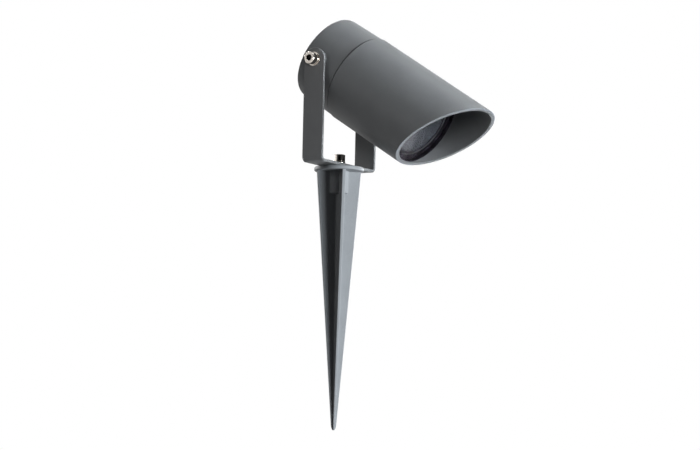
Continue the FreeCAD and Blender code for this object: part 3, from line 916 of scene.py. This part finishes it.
def fin_loop(height, reach, thickness, root, edge):
    """Cross-shaped loop with filleted roots and rounded fin ends, at a height."""
    half = thickness / 2
    corners = []
    for k in range(4):
        turn = Matrix.Rotation(FIN_TURN + k * math.pi / 2, 2)
        for along, across, radius in (
            (reach, -half, edge), (reach, half, edge), (half, half, root),
        ):
            x, y = turn @ Vector((along, across))
            corners.append((x, y, radius))
    return [Vector((p.x, p.y, height)) for p in rounded(corners, 5)]


def blend(first, last, share):
    return [a + (b - a) * share for a, b in zip(first, last)]


def ground_spike():
    low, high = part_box("ground_spike")
    flange = high.z
    tip = low.z
    top_sizes = (FIN_REACH_TOP, FIN_THICKNESS_TOP, FIN_ROOT_ROUND_TOP, FIN_EDGE_ROUND_TOP)
    tip_sizes = (FIN_REACH_TIP, FIN_THICKNESS_TIP, FIN_ROOT_ROUND_TIP, FIN_EDGE_ROUND_TIP)
    shoulder = tip + POINT_HEIGHT
    rows = []
    for k in range(FIN_STEPS + 1):
        rows.append(fin_loop(shoulder * k / FIN_STEPS, *blend(top_sizes, tip_sizes, k / FIN_STEPS)))
    for share in POINT_STEPS:
        size = 1 - (1 - POINT_SHARE) * share ** 2
        rows.append(fin_loop(shoulder - POINT_HEIGHT * share, *[s * size for s in tip_sizes]))
    mesh = new_mesh()
    add_grid(mesh, rows, closed=False)
    hole_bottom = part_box("bracket_screw")[0].z - HOLE_SPARE
    plate = constant(
        [
            (SCREW_RADIUS, 0, 0),
            (high.x, 0, FLANGE_ROUND * 0.7),
            (high.x, flange, FLANGE_ROUND),
            (SCREW_RADIUS, flange, HOLE_EDGE_ROUND),
        ],
        6,
    )
    add_turned(mesh, plate, FINE)
    boss = constant(
        [
            (SCREW_RADIUS, hole_bottom, 0),
            (0, hole_bottom, 0),
            (0, -BOSS_LENGTH, 0),
            (BOSS_RADIUS, -BOSS_LENGTH, BOSS_END_ROUND),
            (BOSS_RADIUS, 0, 0),
            (SCREW_RADIUS, 0, 0),
        ],
        4,
    )
    add_turned(mesh, boss, MEDIUM)
    finish_piece(mesh, "spike_casting", "spike_metal", "ground_spike")


# ---------------------------------------------------------------- cable gland


def gland():
    """Domed nut of the cable gland on the rear wall; the gland's other pieces keep their CAD meshes."""
    start, end = stations("gland_nut")
    bore = radii("gland_nut")[0]
    corner = GLAND_FLATS / math.sqrt(3)
    quarter = [math.pi / 2 * i / GLAND_DOME_STEPS for i in range(GLAND_DOME_STEPS + 1)]

    def nut_at(angle):
        side = hexagon_radius(GLAND_FLATS, angle)
        dome = [(corner - GLAND_DOME * (1 - math.cos(t)), start + GLAND_DOME * (1 - math.sin(t)))
                for t in quarter]
        outer = [Vector((min(side, radius), height)) for radius, height in dome]
        return (
            [Vector((bore, end)), Vector((side - EDGE_BREAK, end)), Vector((side, end - EDGE_BREAK))]
            + outer + [Vector((bore + GLAND_BORE_LIP, start)), Vector((bore, start + GLAND_BORE_CHAMFER))]
        )

    mesh = new_mesh()
    add_turned(mesh, nut_at, MEDIUM, BARREL)
    finish_piece(mesh, "gland_dome_nut", "black_nylon", "gland_nut")


# ---------------------------------------------------------------- stage, lamps and camera


def white_to_camera(tree, diffuse, lit):
    """White to the camera, mirrors and glass; the lit socket answers every other ray."""
    path = tree.nodes.new("ShaderNodeLightPath")
    white = tree.nodes.new("ShaderNodeEmission" if diffuse else "ShaderNodeBackground")
    white.inputs["Color"].default_value = (*WHITE, 1)
    white.inputs["Strength"].default_value = 1
    seen = path.outputs["Is Camera Ray"]
    for ray in ("Is Glossy Ray", "Is Transmission Ray"):
        either = tree.nodes.new("ShaderNodeMath")
        either.operation = "MAXIMUM"
        tree.links.new(seen, either.inputs[0])
        tree.links.new(path.outputs[ray], either.inputs[1])
        seen = either.outputs[0]
    mix = tree.nodes.new("ShaderNodeMixShader")
    tree.links.new(seen, mix.inputs[0])
    tree.links.new(lit, mix.inputs[1])
    tree.links.new(white.outputs[0], mix.inputs[2])
    return mix.outputs[0]


def make_world():
    world = bpy.data.worlds.new("studio")
    bpy.context.scene.world = world
    world.use_nodes = True
    tree = world.node_tree
    soft = tree.nodes["Background"]
    soft.inputs["Color"].default_value = (*WHITE, 1)
    soft.inputs["Strength"].default_value = WORLD_DIFFUSE
    output = tree.nodes["World Output"]
    tree.links.new(white_to_camera(tree, False, soft.outputs[0]), output.inputs["Surface"])


def make_floor():
    data = bpy.data.meshes.new("floor")
    level = -FLOOR_DROP + CAD_BOX[0].z
    corners = [(x * FLOOR_HALF, y * FLOOR_HALF, level) for x, y in ((-1, -1), (1, -1), (1, 1), (-1, 1))]
    data.from_pydata(corners, [], [(0, 1, 2, 3)])
    floor = bpy.data.objects.new("floor", data)
    bpy.context.scene.collection.objects.link(floor)
    material = bpy.data.materials.new("pale_floor")
    material.use_nodes = True
    tree = material.node_tree
    shader = tree.nodes["Principled BSDF"]
    shader.inputs["Base Color"].default_value = (0.2, 0.2, 0.2, 1)
    shader.inputs["Roughness"].default_value = 0.9
    output = tree.nodes["Material Output"]
    tree.links.new(white_to_camera(tree, True, shader.outputs[0]), output.inputs["Surface"])
    data.materials.append(material)


def make_flag(name, first, last, top):
    """Curved black board, as studios put up to keep metal and coats dark on one side.

    It stands on the floor and is seen by reflections and by diffuse rays only, never by a camera.
    """
    bottom = CAD_BOX[0].z - FLOOR_DROP
    corners = []
    for k in range(FLAG_STEPS + 1):
        turn = math.radians(first + (last - first) * k / FLAG_STEPS)
        across = (math.sin(turn) * FLAG_DISTANCE, -math.cos(turn) * FLAG_DISTANCE)
        corners += [(*across, bottom), (*across, top)]
    faces = [(2 * k, 2 * k + 2, 2 * k + 3, 2 * k + 1) for k in range(FLAG_STEPS)]
    data = bpy.data.meshes.new(name)
    data.from_pydata(corners, [], faces)
    flag = bpy.data.objects.new(name, data)
    bpy.context.scene.collection.objects.link(flag)
    data.materials.append(black_board())
    flag.visible_camera = False
    flag.visible_transmission = False
    flag.visible_shadow = False


def black_board():
    material = bpy.data.materials.new("black_board")
    material.use_nodes = True
    shader = material.node_tree.nodes["Principled BSDF"]
    shader.inputs["Base Color"].default_value = (0.01, 0.01, 0.01, 1)
    shader.inputs["Specular IOR Level"].default_value = 0.0
    shader.inputs["Roughness"].default_value = 1.0
    return material


def towards(turn, rise):
    """Unit vector from the object towards an azimuth, counted from -Y, and an elevation."""
    return Vector((math.sin(turn) * math.cos(rise), -math.cos(turn) * math.cos(rise), math.sin(rise)))


def make_lamp(name, azimuth, elevation, width, height, power, colour=WHITE, bodies=()):
    """Soft box that faces the object; it lights everything, or only the pieces of the bodies named.

    Azimuth and elevation are in degrees, width and height in metres and power in watts.
    """
    light = bpy.data.lights.new(name, "AREA")
    light.shape = "RECTANGLE"
    light.size = width
    light.size_y = height
    light.energy = power
    light.color = colour
    lamp = bpy.data.objects.new(name, light)
    bpy.context.scene.collection.objects.link(lamp)
    back = towards(math.radians(azimuth), math.radians(elevation))
    lamp.location = back * LAMP_DISTANCE
    lamp.rotation_euler = back.to_track_quat("Z", "Y").to_euler()
    lamp.visible_camera = False
    if bodies:
        lamp.light_linking.receiver_collection = lit_pieces(name + "_reach", bodies)
    return lamp


def lit_pieces(name, bodies):
    """Collection of every mesh that rides on these bodies."""
    reach = bpy.data.collections.new(name)
    for piece in bpy.data.objects:
        if piece.type == "MESH" and body_carrying(piece) in bodies:
            reach.objects.link(piece)
    return reach


def body_carrying(piece):
    """Name of the body that a CAD node or a modelled piece moves with."""
    if piece.name in BODY_OF:
        return BODY_OF[piece.name]
    return PIECE_BODY.get(piece.name)


def make_camera():
    back = towards(CAMERA_AZIMUTH, CAMERA_ELEVATION)
    level_right = Vector((math.cos(CAMERA_AZIMUTH), math.sin(CAMERA_AZIMUTH), 0))
    roll = Matrix.Rotation(CAMERA_ROLL, 3, back)
    right = roll @ level_right
    up = back.cross(right)
    place = right * CAMERA_SHIFT_RIGHT + up * CAMERA_SHIFT_UP + back * CAMERA_DISTANCE
    data = bpy.data.cameras.new("camera")
    data.lens = CAMERA_LENS_MM
    data.clip_start = 0.05
    data.clip_end = 50
    camera = bpy.data.objects.new("camera", data)
    bpy.context.scene.collection.objects.link(camera)
    camera.matrix_world = Matrix.Translation(place) @ Matrix((right, up, back)).transposed().to_4x4()
    bpy.context.scene.camera = camera


def dress_cad_nodes():
    """Every CAD node takes the procedural material of its slot."""
    for part in frame["record"]["subparts"]:
        node = frame["nodes"][part["node"]]
        for slot in node.material_slots:
            slot.material = MATERIALS[part["material_slot"]]


make_camera()
make_world()
make_floor()
make_flag("camera_flag", -108, -42, FLAG_HIGH)
make_flag("wall_flag", -42, 222, FLAG_LOW)
dress_cad_nodes()
front_hood()
rear_housing()
hood_seal()
front_glass()
lamp_lens()
u_bracket()
ground_spike()
bracket_fasteners()
pivot_fasteners()
gland()
make_lamp("front_low", -7, -14, 0.4, 0.5, 16, COOL)
make_lamp("front_level", 4, -5, 0.4, 0.5, 30, COOL)
make_lamp("spike_side", -135, 15, 0.3, 0.6, 2, WHITE, ("spike",))
make_lamp("back_high", 60, 60, 0.8, 0.8, 8.5, COOL, ("head", "bracket"))
make_lamp("top_side", -40, 62, 0.5, 0.5, 4.5, COOL, ("head", "bracket"))
make_lamp("head_side", -56, 6, 0.4, 0.4, 8, WHITE, ("head", "bracket"))
make_lamp("arm_side", -106, 2, 0.3, 0.5, 2.6, WHITE, ("head", "bracket"))
make_lamp("back_spike", 96, 15, 0.5, 0.8, 20, WHITE, ("spike",))
make_lamp("rear_spike", 174, 15, 0.4, 0.8, 24, WHITE, ("spike",))
make_lamp("back_head", 130, 25, 0.6, 0.6, 18, WHITE, ("head", "bracket"))
bpy.context.scene.view_settings.view_transform = "Standard"
bpy.context.view_layer.update()
